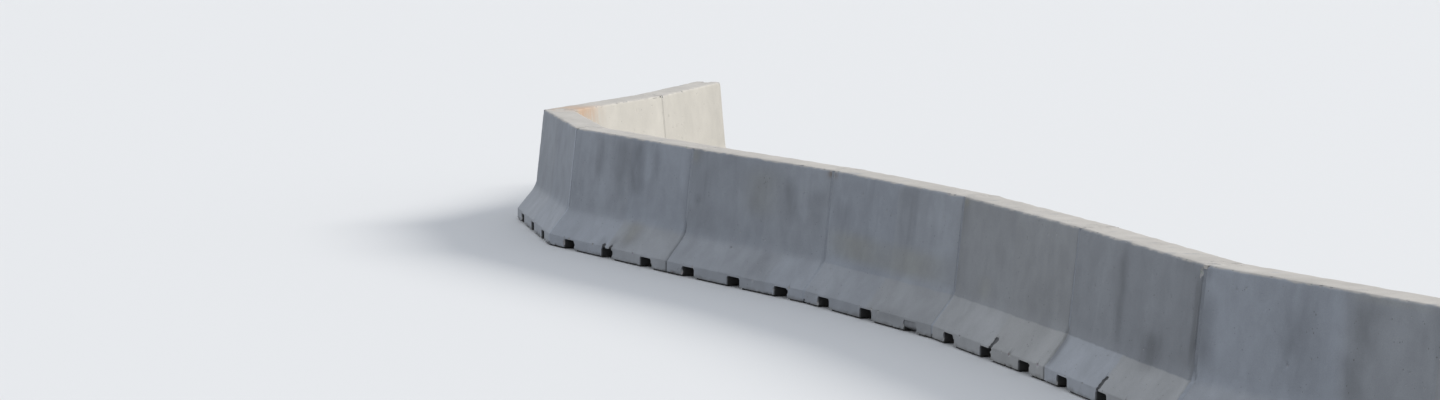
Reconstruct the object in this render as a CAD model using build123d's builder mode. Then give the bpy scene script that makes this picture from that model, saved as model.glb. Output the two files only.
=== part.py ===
from build123d import *
from math import atan2, cos, degrees, radians, sin, tan
import os

# A row of precast concrete safety barrier units: a long, slightly waved arm and a tight
# bend at its far end. Millimetres, +Z up, ground at Z = 0. The straight line between the
# end joints of the long arm lies along +X and the traffic side of the row faces -Y.

# Row layout
unit_pitch = 2000.0          # joint centre to joint centre, one unit
joint_gap = 14.0             # open joint between two facing ends
opened_joint = 8             # one joint has opened wider than the others
opened_gap = 36.0
turns = (-5.1, 26.8, 15.4, 1.7, -5.2, -6.0, -1.8, 12.2)   # change of heading at each joint, degrees
bend_units = 2               # units before the long arm, round the tight bend

# Unit section, heights measured from the ground
strip_height = 12.0          # bearing strips that lift the unit off the road
barrier_height = 810.0
half_base = 295.0
toe_height = 80.0            # top of the upright toe
crease_height = 250.0        # meeting of the lower slope and the upper face
crease_half_width = 162.0
half_top = 108.0
crease_radius = 220.0
top_radius = 20.0
toe_radius = 14.0
end_chamfer = 9.0            # bevel round each end face

# Drainage and lifting slots through the foot
slots_per_unit = 3
slot_width = 185.0
slot_height = 58.0           # above the underside of the unit
slot_corner = 12.0           # bevelled upper corners

# Connection in the ends: a drop slot from the top down to a round pocket
key_slot_width = 62.0
pocket_radius = 55.0
pocket_depth = 112.0
axis_height = 390.0          # centre of the pocket and of the tie bar

# Tie bar cast through each unit
bar_radius = 14.0
duct_clearance = 0.3
plate_width = 72.0           # square bearing plate on the pocket floor
plate_thickness = 14.0
neck_length = 32.0
nut_flats = 42.0             # hexagonal nut on the bar end, flats at its sides
nut_length = 22.0

# Key that drops into a joint and holds the nuts of two tie bars together
key_clearance = 2.0          # each side, to the drop slot
seat_clearance = 0.3         # to the nuts and bars it sits on
nut_clearance = 6.0          # in front of each nut
claw_lip = 20.0              # wall behind each nut
claw_below = 38.0            # below the bar axis
claw_above = 44.0            # above the bar axis
web_thickness = 14.0
flange_thickness = 12.0
key_top_drop = 4.0           # below the top of the barrier
cover_thickness = 10.0       # plate on top of the key that closes the drop slots
lift_slot_length = 40.0      # through the cover, for a turned T-head
lift_slot_width = 22.0
lift_window_height = 30.0    # through the web below the lifting slot

# Bearing strips
strip_inset = 14.0           # in from the edges of each foot

unit_count = len(turns) + 1
unit_top = barrier_height
unit_underside = strip_height
slot_pitch = unit_pitch / slots_per_unit
key_half_width = key_slot_width / 2 - key_clearance

# Headings of the units, turned so that the chord of the long arm lies along +X
raw = [sum(turns[:k]) for k in range(unit_count)]
arm = raw[bend_units:]
chord = degrees(atan2(sum(sin(radians(a)) for a in arm), sum(cos(radians(a)) for a in arm)))
headings = [a - chord for a in raw]


def along(angle, length):
    return Vector(length * cos(radians(angle)), length * sin(radians(angle)), 0)


def half_gap(joint):
    """Half the gap at a joint, counted from 1; a free end is cut as at a usual joint."""
    return (opened_gap if joint == opened_joint else joint_gap) / 2


def joint_at(k, end):
    """Number of the joint at an end of unit k; 0 and the last are the free ends."""
    return k + 1 if end > 0 else k


def pocket_reach(joint):
    """Depth of the pocket floor behind the middle of a joint."""
    return half_gap(joint) + pocket_depth


def end_skew(k, end):
    """Angle of an end face from square: half the turn at a joint, none at a free end."""
    joint = joint_at(k, end)
    return turns[joint - 1] / 2 * end if 1 <= joint <= len(turns) else 0.0


def foot_corners(k, middle):
    """Plan points of the bevelled corners of one unit about its middle."""
    points = []
    for end in (-1, 1):
        skew = end_skew(k, end)
        face = along(headings[k] + skew + 90, 1)
        side = along(headings[k], -end)
        for hand in (-1, 1):
            reach = end * (unit_pitch / 2 - half_gap(joint_at(k, end)) / cos(radians(skew)))
            reach -= hand * half_base * tan(radians(skew))
            corner = middle + along(headings[k], reach) + along(headings[k] + 90, hand * half_base)
            points.append(corner + side * end_chamfer)
            points.append(corner - face * hand * end_chamfer)
    return points


joints = [Vector(0, 0, 0)]
for heading in headings:
    joints.append(joints[-1] + along(heading, unit_pitch))
outline = []
for k in range(unit_count):
    outline += foot_corners(k, (joints[k] + joints[k + 1]) / 2)
row_centre = Vector(
    (min(p.X for p in outline) + max(p.X for p in outline)) / 2,
    (min(p.Y for p in outline) + max(p.Y for p in outline)) / 2,
    0,
)
joints = [p - row_centre for p in joints]


def unit_frame(k):
    """Ground plane of a unit: X along it, Y to its back, origin below its middle."""
    middle = (joints[k] + joints[k + 1]) / 2
    return Plane(origin=middle, x_dir=along(headings[k], 1), z_dir=(0, 0, 1))


def cross_plane(frame, x, z=0.0):
    """Upright plane square to a ground frame: X of the plane is across, its Y is up."""
    return Plane(origin=frame.from_local_coords(Vector(x, 0, z)), x_dir=frame.y_dir, z_dir=frame.x_dir)


def side_plane(frame, z=0.0):
    """Upright plane along a ground frame: X of the plane is along the frame, its Y is up."""
    return Plane(origin=frame.from_local_coords(Vector(0, 0, z)), x_dir=frame.x_dir, z_dir=-frame.y_dir)


def end_plane(k, end):
    """End face of a unit, facing outwards."""
    skew = end_skew(k, end)
    outwards = along(headings[k] + skew, end)
    joint = joint_at(k, end)
    return Plane(origin=joints[joint] - outwards * half_gap(joint), z_dir=outwards)


def make_unit(k):
    frame = unit_frame(k)
    rough = unit_pitch + half_base
    with BuildPart() as unit:
        # Moulded section: upright toe, lower slope, crease, steep upper face, flat top
        with BuildSketch(cross_plane(frame, -rough / 2)):
            with BuildLine():
                Polyline(
                    (0, unit_underside),
                    (half_base, unit_underside),
                    (half_base, toe_height),
                    (crease_half_width, crease_height),
                    (half_top, unit_top),
                    (0, unit_top),
                )
                mirror(about=Plane.YZ)
            make_face()
        extrude(amount=rough)
        # Ends cut on the planes that halve the turns, with a bevelled rim
        for end in (-1, 1):
            split(bisect_by=end_plane(k, end), keep=Keep.BOTTOM)
        for end in (-1, 1):
            face = unit.faces().sort_by(Axis(frame.origin, frame.x_dir * end))[-1]
            rim = face.edges().filter_by(lambda e: e.center().Z > unit_underside + 1)
            chamfer(rim, end_chamfer)
        # Rounded toe, soft crease and rounded top edges along the unit
        lines = unit.edges().filter_by(Axis(frame.origin, frame.x_dir))
        for height, radius in (
            (toe_height, toe_radius),
            (crease_height, crease_radius),
            (unit_top, top_radius),
        ):
            fillet(lines.filter_by(lambda e: abs(e.center().Z - height) < 0.1), radius)
            lines = unit.edges().filter_by(Axis(frame.origin, frame.x_dir))
        # Slots through the foot
        with BuildSketch(side_plane(frame, unit_underside)) as slot:
            with GridLocations(slot_pitch, 1, slots_per_unit, 1):
                Rectangle(slot_width, 2 * slot_height)
            chamfer(slot.vertices().filter_by(lambda v: v.Y > 0), slot_corner)
        extrude(amount=half_base + 10, both=True, mode=Mode.SUBTRACT)
        # Pocket and drop slot in each end
        for end in (-1, 1):
            depth = pocket_reach(joint_at(k, end))
            inwards = unit_pitch / 2 - depth
            with BuildSketch(cross_plane(frame, end * inwards, axis_height)):
                Circle(pocket_radius)
            extrude(amount=end * 2 * depth, mode=Mode.SUBTRACT)
            with BuildSketch(frame.offset(axis_height)):
                with Locations((end * (inwards + depth), 0)):
                    Rectangle(2 * depth, key_slot_width)
            extrude(amount=unit_top - axis_height, mode=Mode.SUBTRACT)
        # Duct for the tie bar
        with BuildSketch(cross_plane(frame, -unit_pitch / 2, axis_height)):
            Circle(bar_radius + duct_clearance)
        extrude(amount=unit_pitch, mode=Mode.SUBTRACT)
    return unit


def make_tie_bar(k):
    """Round bar with a square bearing plate on each pocket floor and a nut at each end."""
    frame = unit_frame(k)
    seats = [unit_pitch / 2 - pocket_reach(joint_at(k, end)) for end in (-1, 1)]
    beyond = plate_thickness + neck_length
    with BuildPart() as bar:
        with BuildSketch(cross_plane(frame, -seats[0] - beyond, axis_height)):
            Circle(bar_radius)
        extrude(amount=sum(seats) + 2 * beyond)
        for end, seat in zip((-1, 1), seats):
            with BuildSketch(cross_plane(frame, end * seat, axis_height)):
                Rectangle(plate_width, plate_width)
            extrude(amount=end * plate_thickness)
            with BuildSketch(cross_plane(frame, end * (seat + beyond), axis_height)):
                RegularPolygon(nut_flats / 2, 6, major_radius=False, rotation=30)
            extrude(amount=end * nut_length)
    return bar


def make_strips(k):
    frame = unit_frame(k)
    with BuildPart() as strips:
        with BuildSketch(frame):
            Rectangle(unit_pitch + half_base, 2 * (half_base - strip_inset))
        extrude(amount=strip_height)
        for end in (-1, 1):
            split(bisect_by=end_plane(k, end).offset(-strip_inset), keep=Keep.BOTTOM)
        with BuildSketch(frame):
            with GridLocations(slot_pitch, 1, slots_per_unit, 1):
                Rectangle(slot_width + 2 * strip_inset, 2 * half_base)
        extrude(amount=strip_height, mode=Mode.SUBTRACT)
    return strips


def make_key(j):
    """Key over one joint: a claw on the two nuts, a web with two flanges, and a cover plate."""
    point = joints[j + 1]
    nut_back = pocket_reach(j + 1) - plate_thickness - neck_length
    reach = nut_back + claw_lip
    low = axis_height - claw_below
    shoulder = axis_height + claw_above
    top = unit_top - key_top_drop
    cover = top - cover_thickness
    arms = ((headings[j] + 180, -turns[j] / 2), (headings[j + 1], turns[j] / 2))
    with BuildPart() as key:
        for angle, skew in arms:
            arm = Plane(origin=point, x_dir=along(angle, 1), z_dir=(0, 0, 1))
            lean = tan(radians(skew))

            def plan(half_width, stop, start=None):
                near = [half_width * lean, -half_width * lean] if start is None else [start, start]
                return [(near[0], half_width), (stop, half_width), (stop, -half_width), (near[1], -half_width)]

            with BuildSketch(arm.offset(low)):
                Polygon(*plan(key_half_width, reach), align=None)
            extrude(amount=shoulder - low)
            with BuildSketch(arm.offset(shoulder)):
                Polygon(*plan(web_thickness / 2, reach), align=None)
                Polygon(*plan(key_half_width, reach, reach - flange_thickness), align=None)
            extrude(amount=cover - shoulder)
            with BuildSketch(arm.offset(cover)):
                Polygon(*plan(key_half_width, pocket_reach(j + 1) - key_clearance), align=None)
            extrude(amount=cover_thickness)
        for angle, skew in arms:
            arm = Plane(origin=point, x_dir=along(angle, 1), z_dir=(0, 0, 1))
            nut_front = nut_back - nut_length
            nut_corner = nut_flats / 2 / cos(radians(30))
            for start, stop, half_width, roof in (
                (nut_front - nut_clearance, nut_back + seat_clearance, nut_flats / 2, nut_corner),
                (nut_back, reach + 1, bar_radius, bar_radius),
            ):
                with BuildSketch(cross_plane(arm, start, low)):
                    Rectangle(
                        2 * (half_width + seat_clearance),
                        2 * (axis_height + roof + seat_clearance - low),
                    )
                extrude(amount=stop - start, mode=Mode.SUBTRACT)
        middle = Plane(origin=point, x_dir=along((headings[j] + headings[j + 1]) / 2, 1), z_dir=(0, 0, 1))
        with BuildSketch(middle.offset(cover)):
            Rectangle(lift_slot_length, lift_slot_width)
        extrude(amount=cover_thickness, mode=Mode.SUBTRACT)
        with BuildSketch(side_plane(middle, cover - lift_window_height / 2)):
            Rectangle(lift_slot_length, lift_window_height)
        extrude(amount=key_half_width, both=True, mode=Mode.SUBTRACT)
    return key


os.makedirs("parts", exist_ok=True)


def save(piece, name):
    piece.part.label = name
    export_step(piece.part, "parts/" + name + ".step")


for k in range(unit_count):
    save(make_unit(k), "barrier_unit_" + str(k + 1))
    save(make_tie_bar(k), "tie_bar_" + str(k + 1))
    save(make_strips(k), "bearing_strips_" + str(k + 1))
for j in range(len(turns)):
    save(make_key(j), "joint_key_" + str(j + 1))
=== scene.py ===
import math
import random
from collections import namedtuple

import bmesh
import bpy
from mathutils import Matrix, Vector, noise


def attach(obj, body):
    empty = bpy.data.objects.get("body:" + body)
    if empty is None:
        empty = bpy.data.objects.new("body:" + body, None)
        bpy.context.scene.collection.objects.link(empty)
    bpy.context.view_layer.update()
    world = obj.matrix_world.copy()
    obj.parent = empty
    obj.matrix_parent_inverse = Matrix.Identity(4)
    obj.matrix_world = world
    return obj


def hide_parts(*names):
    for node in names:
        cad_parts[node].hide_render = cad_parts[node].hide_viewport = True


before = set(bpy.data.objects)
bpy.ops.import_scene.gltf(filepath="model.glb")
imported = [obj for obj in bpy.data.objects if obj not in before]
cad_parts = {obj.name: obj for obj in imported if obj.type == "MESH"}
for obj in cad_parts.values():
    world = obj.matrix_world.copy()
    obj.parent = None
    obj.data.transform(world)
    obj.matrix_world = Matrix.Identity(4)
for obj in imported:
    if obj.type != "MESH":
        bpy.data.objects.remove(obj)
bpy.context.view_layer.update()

# A row of nine precast concrete barrier units with keyed joints, in the row's own frame.
# Each unit's solid is worn, chipped and stained, units 7 and 8 also cracked, the joints, the cover
# plates and one slot get their dirt, and the steel and rubber keep their meshes and get materials.

# ---------------------------------------------------------------- layout, metres

# Joint points of the row in plan: unit k runs from point k - 1 to point k.
JOINTS = (
    (-8.5473, 1.3298),
    (-6.8476, 0.2757),
    (-5.2483, -0.9252),
    (-3.2794, -1.2761),
    (-1.2879, -1.0915),
    (0.6972, -0.8479),
    (2.6962, -0.7852),
    (4.6909, -0.9319),
    (6.6799, -1.1411),
    (8.6682, -0.9252),
)
UNITS = len(JOINTS) - 1
HALF_GAP = 0.007
OPENED_JOINT, OPENED_HALF_GAP = 8, 0.018
TOP = 0.810
UNDERSIDE = 0.012
TOE = 0.080
CREASE = 0.250
HALF_TOP = 0.108
HALF_CREASE = 0.162
HALF_BASE = 0.295
SLOT_X = (-0.6667, 0.0, 0.6667)
SLOT_TOP = 0.070
SLOT_HALF = 0.0925
ROAD, REAR = -1, 1  # the two sides, as the sign of y in a unit's frame
UP = Vector((0, 0, 1))


def unit_place(k):
    """Middle and heading of unit k in plan."""
    start, end = Vector(JOINTS[k - 1]), Vector(JOINTS[k])
    along = end - start
    return (start + end) / 2, math.atan2(along.y, along.x)


def unit_matrix(k):
    """Unit k's own frame: X along it, Y to its back, origin on the ground below its middle."""
    middle, heading = unit_place(k)
    return Matrix.Translation((middle.x, middle.y, 0)) @ Matrix.Rotation(heading, 4, "Z")


def gap_at(j):
    """Half the gap at joint j."""
    return OPENED_HALF_GAP if j == OPENED_JOINT else HALF_GAP


def joint_heading(j):
    """Heading of the row at joint point j: halfway between the units on both sides."""
    return (unit_place(max(j, 1))[1] + unit_place(min(j + 1, UNITS))[1]) / 2


def joint_frame(j):
    """Frame at joint point j, and half the turn of the row there."""
    matrix = Matrix.Translation((*JOINTS[j], 0.0)) @ Matrix.Rotation(joint_heading(j), 4, "Z")
    return matrix, (unit_place(j + 1)[1] - unit_place(j)[1]) / 2


def from_joint(j, place):
    """How far a place in the row lies beyond the plane of joint j, along the row."""
    heading = joint_heading(j)
    away = Vector((place.x, place.y)) - Vector(JOINTS[j])
    return away.x * math.cos(heading) + away.y * math.sin(heading)


def face_point(x, height, side=ROAD, out=0.0):
    """Point on a long face at a height, in a unit's frame, a little outside it by out."""
    if height > CREASE:
        t = (height - CREASE) / (TOP - CREASE)
        y = HALF_CREASE + t * (HALF_TOP - HALF_CREASE)
        normal = Vector((0, TOP - CREASE, HALF_CREASE - HALF_TOP)).normalized()
    elif height > TOE:
        t = (height - TOE) / (CREASE - TOE)
        y = HALF_BASE + t * (HALF_CREASE - HALF_BASE)
        normal = Vector((0, CREASE - TOE, HALF_BASE - HALF_CREASE)).normalized()
    else:
        y, normal = HALF_BASE, Vector((0, 1, 0))
    return Vector((x, side * (y + normal.y * out), height + normal.z * out))


def face_way(height, side=ROAD):
    """The point of a long face above the middle of a unit, and the way out of the face there."""
    here = face_point(0.0, height, side)
    return here, (face_point(0.0, height, side, 1.0) - here).normalized()


# ---------------------------------------------------------------- shader shorthand

# Sockets of the Mix node when it mixes colours
MIX_FACTOR, MIX_A, MIX_B, MIX_RESULT = 0, 6, 7, 2


class Graph:
    """Builds the shader nodes of a material or of the world."""

    def __init__(self, owner):
        owner.use_nodes = True
        self.owner = owner
        self.tree = owner.node_tree
        self.tree.nodes.clear()

    def put(self, socket, value):
        if isinstance(value, bpy.types.NodeSocket):
            self.tree.links.new(value, socket)
        elif isinstance(value, tuple) and len(value) == 3 and socket.type == "RGBA":
            socket.default_value = (*value, 1.0)
        else:
            socket.default_value = value

    def node(self, kind, inputs=None, **settings):
        made = self.tree.nodes.new(kind)
        for key, value in settings.items():
            setattr(made, key, value)
        for key, value in (inputs or {}).items():
            self.put(made.inputs[key], value)
        return made

    def math(self, operation, a, b, clamp=False):
        made = self.node("ShaderNodeMath", {0: a, 1: b}, operation=operation, use_clamp=clamp)
        return made.outputs[0]

    def times(self, a, b, clamp=False):
        return self.math("MULTIPLY", a, b, clamp)

    def plus(self, a, b):
        return self.math("ADD", a, b)

    def minus(self, a, b):
        return self.math("SUBTRACT", a, b)

    def size(self, value):
        return self.math("ABSOLUTE", value, 0.0)

    def mix(self, amount, a, b, blend="MIX"):
        inputs = {MIX_FACTOR: amount, MIX_A: a, MIX_B: b}
        made = self.node("ShaderNodeMix", inputs, data_type="RGBA", blend_type=blend)
        return made.outputs[MIX_RESULT]

    def tint(self, colour, other):
        """Product of two colours."""
        return self.mix(1.0, colour, other, "MULTIPLY")

    def rgb(self, red, green, blue):
        return self.node("ShaderNodeCombineColor", {0: red, 1: green, 2: blue}).outputs[0]

    def scale(self, colour, factor):
        """Colour times a grey factor."""
        return self.tint(colour, self.rgb(factor, factor, factor))

    def ramp(self, value, low, high, a=0.0, b=1.0):
        """Smooth step from a at low to b at high."""
        inputs = {0: value, 1: low, 2: high, 3: a, 4: b}
        return self.node("ShaderNodeMapRange", inputs, interpolation_type="SMOOTHSTEP").outputs[0]

    def spread(self, value, low, high):
        """Brightness factor about 1 from a noise value about 0.5."""
        return self.ramp(value, 0.3, 0.7, low, high)

    def place(self):
        return self.node("ShaderNodeTexCoord").outputs["Object"]

    def split(self, vector):
        return self.node("ShaderNodeSeparateXYZ", {0: vector}).outputs[:3]

    def noise(self, vector, scale, detail=3.0, rough=0.55, distort=0.0):
        inputs = {
            "Vector": vector,
            "Scale": scale,
            "Detail": detail,
            "Roughness": rough,
            "Distortion": distort,
        }
        return self.node("ShaderNodeTexNoise", inputs).outputs["Fac"]

    def cells(self, vector, scale):
        return self.node("ShaderNodeTexVoronoi", {"Vector": vector, "Scale": scale}).outputs

    def stretch(self, vector, x, y, z, shift):
        """Vector scaled by axis and moved by a shift of its own."""
        location = (shift, shift * 0.7, shift * 1.3)
        inputs = {"Vector": vector, "Scale": (x, y, z), "Location": location}
        return self.node("ShaderNodeMapping", inputs).outputs[0]

    def bump(self, height, strength, distance):
        inputs = {"Strength": strength, "Distance": distance, "Height": height}
        return self.node("ShaderNodeBump", inputs).outputs[0]

    def seen(self):
        """1 for what the camera sees, straight or by way of metal or glass."""
        ray = self.node("ShaderNodeLightPath").outputs
        seen = self.math("MAXIMUM", ray["Is Camera Ray"], ray["Is Glossy Ray"])
        return self.math("MAXIMUM", seen, ray["Is Transmission Ray"])

    def finish(self, **inputs):
        """Ends a material in one surface and returns it."""
        shader = self.node("ShaderNodeBsdfPrincipled")
        for key, value in inputs.items():
            self.put(shader.inputs[key.replace("_", " ")], value)
        self.node("ShaderNodeOutputMaterial", {"Surface": shader.outputs[0]})
        return self.owner


def material_graph(name):
    return Graph(bpy.data.materials.new(name))


# ---------------------------------------------------------------- concrete

# Painted light: the road side is painted in shade, dark and blue-grey, and the back and top pale
# and warm as in sunlight; the end faces take the road side's shaded grey. The road side is also
# dirtier and the top also bleached.
SHADED_ROAD_UPPER = (0.268, 0.287, 0.318)
# The slope below the crease is painted lighter, as lit by the sky
SKYLIT_SHADED_ROAD_LOWER = (0.318, 0.335, 0.362)
SUNLIT_BACK = (0.590, 0.560, 0.500)
SUNLIT_BLEACHED_TOP = (0.490, 0.465, 0.430)
SHADED_END = (0.275, 0.285, 0.300)
BEIGE_FILM = (0.312, 0.308, 0.258)
RUST_FILM = (0.180, 0.130, 0.090)
RUSTY_WATER = (0.990, 0.740, 0.580)
TOE_DARKENING = (0.110, 0.105, 0.095)
SLOT_SHADE = (0.026, 0.025, 0.023)
JOINT_GRIME = (0.110, 0.112, 0.110)
PIT_SHADE = (0.090, 0.088, 0.082)
MORTAR = ((0.31, 0.312, 0.315), (0.44, 0.435, 0.425))
STONE = (0.34, 0.335, 0.325)
STONE_DUST = (0.32, 0.318, 0.312)

# How each unit's concrete looks:
#   shift    of its noise, so that no two units are alike
#   streaks  strength of its water streaks
#   seams    where its two halves meet along the unit, on the steep face and on the slope
#   tone     brightness of both halves of the steep face, then of the slope
#   warmth   the same for the hue: positive is beige, negative is blue
#   back     brightness of the back: from and to place, value before and beyond them
#   blend    half the width over which the halves blend
PLAIN = ((1.0, 1.0), (1.0, 1.0))
EVEN = ((0.0, 0.0), (0.0, 0.0))
EVEN_BACK = (0.0, 1.0, 1.0, 1.0)
Look = namedtuple(
    "Look",
    "shift streaks seams tone warmth back blend",
    defaults=(PLAIN, EVEN, EVEN_BACK, 0.020),
)
LOOK = {
    1: Look(3.1, 0.6, (0.02, 0.02), back=(-0.9, 0.0, 0.94, 1.01)),
    2: Look(7.7, 0.6, (-0.01, 0.03), back=(0.0, 0.5, 1.10, 1.0)),
    3: Look(12.4, 0.5, (0.0, 0.0), ((1.15, 1.16), (1.24, 1.21)), ((0.2, 0.0), (0.2, 0.0))),
    4: Look(17.9, 0.9, (0.02, 0.0), ((1.12, 1.15), (1.14, 1.03)), ((0.0, -0.2), (-0.3, 0.4))),
    5: Look(23.3, 0.8, (0.12, 0.45), ((1.00, 1.09), (1.01, 1.08)), ((0.0, 0.1), (0.0, -0.2))),
    6: Look(29.6, 0.8, (0.05, 0.0), ((1.09, 1.15), (1.04, 1.03)), ((-0.1, 0.2), (0.0, 0.6))),
    7: Look(34.2, 0.5, (-0.02, 0.05), ((1.02, 1.02), (1.14, 1.16)), ((0.9, 1.0), (0.9, 1.2))),
    8: Look(41.8, 0.6, (-0.22, -0.05), ((0.98, 0.95), (1.20, 1.18)), ((0.5, 0.4), (0.0, 1.0))),
    9: Look(
        47.5, 0.9, (0.26, 0.05), ((1.15, 1.06), (1.15, 1.10)), ((-0.1, 0.5), (0.0, 0.3)),
        blend=0.10,
    ),
}
# Units whose crease is crisp: there the slope's lighter painted skylight meets the steep face
# sharply
CRISP_CREASE = (6, 7, 8)
CREASE_BLEND, CRISP_BLEND = 0.028, 0.005

# Brightness of a dark stain: a smooth step that is 1.0 at no stain and the second tone at a
# full one; the first tone only gives the step its slope
FULL_STAIN, STAIN_TONES = 1.6, (1.38, 0.62)

# Grime on both sides of a joint: strength, width, from and to height; joint 3 has none
GRIME = {
    1: (0.10, 0.025, 0.20, 0.80),
    2: (0.08, 0.025, 0.20, 0.80),
    4: (0.14, 0.025, 0.06, 0.40),
    5: (0.22, 0.040, 0.56, 0.80),
    6: (0.16, 0.050, 0.26, 0.79),
    7: (0.20, 0.045, 0.08, 0.60),
    8: (0.16, 0.025, 0.10, 0.77),
}

# Stains that the photograph shows on the road side: kind, place along the unit, half width,
# from and to height, strength. A clean stain takes away from the dark ones around it.
STAINS = {
    4: (
        ("dark", -0.82, 0.060, 0.32, 0.64, 0.45),
        ("dark", -0.52, 0.085, 0.46, 0.78, 0.85),
        ("dark", -0.16, 0.110, 0.46, 0.77, 0.65),
        ("dark", 0.14, 0.110, 0.42, 0.78, 1.25),
        ("dark", 0.46, 0.050, 0.56, 0.74, 0.50),
        ("dark", 0.97, 0.060, 0.30, 0.80, 0.40),
        ("clean", -0.95, 0.060, 0.24, 0.55, 0.35),
        ("clean", -0.66, 0.040, 0.46, 0.70, 0.40),
        ("clean", 0.31, 0.045, 0.52, 0.76, 0.60),
        ("dark", -0.12, 0.060, 0.06, 0.13, 0.60),
        ("dark", 0.08, 0.050, 0.06, 0.14, 0.60),
        ("warm", 0.25, 0.110, 0.10, 0.26, 0.60),
        ("dark", 0.28, 0.140, 0.08, 0.24, 0.50),
        ("clean", 0.68, 0.160, 0.08, 0.24, 0.50),
    ),
    5: (
        ("warm", -0.96, 0.060, 0.70, 0.81, 0.60),
        ("warm", 0.05, 0.220, 0.42, 0.74, 0.40),
        ("dark", -0.05, 0.200, 0.42, 0.72, 0.25),
        ("clean", 0.29, 0.050, 0.42, 0.78, 0.50),
        ("dark", 0.47, 0.105, 0.42, 0.70, 0.75),
        ("clean", 0.64, 0.050, 0.40, 0.76, 0.45),
        ("dark", 0.84, 0.130, 0.42, 0.66, 0.50),
        ("dark", -0.85, 0.050, 0.44, 0.51, 0.45),
        ("clean", -0.40, 0.450, 0.10, 0.25, 0.40),
        ("dark", 0.28, 0.170, 0.06, 0.24, 0.40),
        ("rust", 0.962, 0.030, 0.75, 0.80, 0.85),
    ),
    6: (
        ("rust", -0.942, 0.026, 0.745, 0.80, 0.70),
        ("dark", -0.78, 0.180, 0.42, 0.62, 0.35),
        ("dark", 0.18, 0.160, 0.64, 0.80, 0.45),
        ("clean", -0.35, 0.120, 0.40, 0.72, 0.35),
        ("dark", 0.25, 0.160, 0.40, 0.66, 0.30),
        ("warm", -0.48, 0.400, 0.27, 0.45, 0.80),
        ("warm", 0.30, 0.420, 0.26, 0.44, 0.75),
        ("clean", 0.64, 0.190, 0.40, 0.78, 0.60),
        ("dark", 0.32, 0.160, 0.03, 0.10, 0.45),
    ),
    7: (
        ("dark", -0.96, 0.050, 0.62, 0.80, 0.60),
        ("dark", -0.98, 0.040, 0.28, 0.42, 0.50),
        ("warm", -0.95, 0.050, 0.74, 0.81, 1.00),
        ("warm", -0.45, 0.100, 0.26, 0.40, 0.40),
    ),
    8: (
        ("dark", -0.20, 0.065, 0.27, 0.74, 0.85),
        ("dark", 0.28, 0.115, 0.20, 0.40, 0.80),
        ("dark", 0.44, 0.105, 0.20, 0.40, 0.80),
        ("dark", 0.80, 0.150, 0.27, 0.50, 0.25),
        ("dark", 0.962, 0.038, 0.28, 0.75, 1.25),
        ("clean", 0.970, 0.022, 0.735, 0.800, 1.00),
        ("dark", -0.955, 0.042, 0.07, 0.25, 1.30),
    ),
    9: (
        ("dark", -0.965, 0.025, 0.73, 0.80, 0.90),
        ("dark", -0.94, 0.090, 0.32, 0.64, 0.55),
        ("clean", -0.62, 0.120, 0.30, 0.72, 0.35),
        ("dark", -0.18, 0.150, 0.42, 0.66, 0.40),
        ("dark", -0.10, 0.060, 0.62, 0.80, 0.30),
        ("clean", 0.08, 0.090, 0.40, 0.76, 0.35),
        ("dark", 0.32, 0.150, 0.26, 0.52, 0.60),
        ("dark", 0.42, 0.110, 0.50, 0.77, 0.45),
        ("warm", 0.60, 0.350, 0.76, 0.80, 0.50),
    ),
}

# The same on top and behind: rusty water that has dried beside the tight bend
BACK_STAINS = {
    2: (("warm", 0.72, 0.270, 0.30, 1.00, 1.00),),
    3: (("warm", -1.00, 0.200, 0.30, 1.00, 0.50),),
}
ROAD_STAINS_TO = -0.09


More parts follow.
